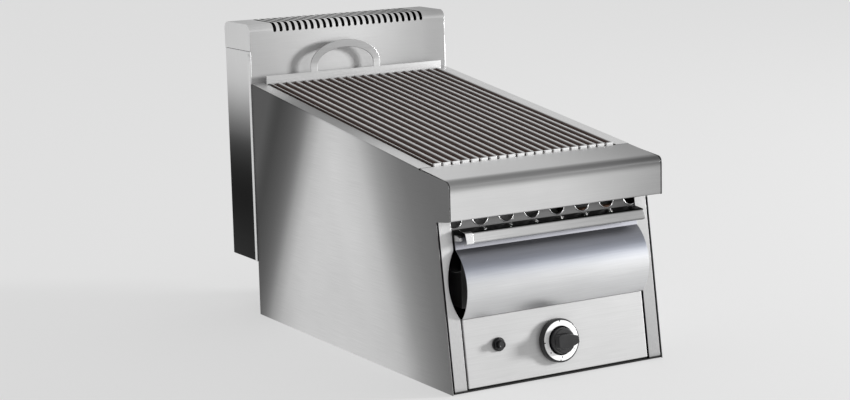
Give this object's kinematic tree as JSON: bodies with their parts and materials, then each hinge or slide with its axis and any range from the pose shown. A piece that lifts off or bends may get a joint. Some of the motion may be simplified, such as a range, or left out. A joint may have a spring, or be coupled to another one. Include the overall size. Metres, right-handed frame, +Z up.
{
  "type": "charbroiler grill",
  "caption": "Countertop gas charbroiler: sloping stainless grate in a wedge-shaped body, curved pull-out water tray front, rotary gas knob, push igniter and slotted rear flue.",
  "frame": {"origin": "middle of the flat base, on the surface that the appliance stands on", "axes": "+Z up, front with the controls faces -Y, +X to the right of someone facing the front"},
  "size_m": [0.4036, 0.7967, 0.522],
  "materials": {
    "stainless": "satin-brushed stainless sheet",
    "bright_stainless": "finely polished stainless sheet",
    "grate_steel": "stainless channel bars, darker in the channels",
    "heated_steel": "stainless darkened by heat",
    "black_plastic": "black heat-resistant plastic, semi-matt",
    "dial_silver": "silver printed ring with marks",
    "brass": "plain turned brass",
    "copper": "drawn copper pipe"
  },
  "bodies": {
    "frame": {"side_panel_left": "stainless", "side_panel_right": "stainless", "base_pan": "stainless", "back_panel": "stainless", "firebox_side_left": "stainless", "firebox_side_right": "stainless", "firebox_front": "stainless", "firebox_rear": "stainless", "burner_rail_front": "stainless", "burner_rail_rear": "stainless", "grate_rest_front": "stainless", "grate_rest_rear": "stainless", "tray_runner_left": "stainless", "tray_runner_right": "stainless", "flue_shell": "stainless", "flame_probe": "stainless", "spark_rod": "stainless", "front_post_left": "bright_stainless", "front_post_right": "bright_stainless", "nose_cap": "bright_stainless", "air_plate": "bright_stainless", "worktop_flange_left": "bright_stainless", "worktop_flange_right": "bright_stainless", "rear_rail": "bright_stainless", "control_panel": "bright_stainless", "flue_front_plate": "bright_stainless", "flue_cap": "bright_stainless", "flue_flange_left": "bright_stainless", "flue_flange_right": "bright_stainless", "cap_screw_left": "bright_stainless", "cap_screw_right": "bright_stainless", "burner": "heated_steel", "mixer_tube": "heated_steel", "flame_baffle_left": "heated_steel", "flame_baffle_right": "heated_steel", "knob_bezel": "black_plastic", "igniter_nut": "black_plastic", "piezo_body": "black_plastic", "dial_ring": "dial_silver", "injector": "brass", "gas_valve": "brass", "gas_inlet": "brass", "pilot_burner": "brass", "burner_feed_pipe": "copper", "gas_supply_pipe": "copper"},
    "tray": {"water_tray": "stainless", "tray_front": "bright_stainless", "tray_handle": "bright_stainless", "handle_bracket_left": "bright_stainless", "handle_bracket_right": "bright_stainless"},
    "grate": {"grate_bars": "grate_steel", "grate_back_plate": "bright_stainless"},
    "stem": {"valve_stem": "stainless"},
    "knob": {"knob": "black_plastic"},
    "igniter": {"igniter_button": "black_plastic"}
  },
  "joints": [
    {"name": "tray_slide", "type": "slide", "parent": "frame", "child": "tray", "axis": [0, -1, 0], "range_m": [0, 0.46]},
    {"name": "grate_lift", "type": "slide", "parent": "frame", "child": "grate", "axis": [0, 0, 1], "range_m": [0, 0.12]},
    {"name": "knob_turn", "type": "hinge", "parent": "frame", "child": "stem", "pos_m": [0, -0.32636, 0.05735], "axis": [0, -0.9888, 0.1489], "range_deg": [0, 240]},
    {"name": "knob_push", "type": "slide", "parent": "stem", "child": "knob", "axis": [0, 0.9888, -0.1489], "range_m": [0, 0.003], "stiffness_N_per_m": 600},
    {"name": "igniter_push", "type": "slide", "parent": "frame", "child": "igniter", "axis": [0, 0.9888, -0.1489], "range_m": [0, 0.004], "stiffness_N_per_m": 800}
  ]
}
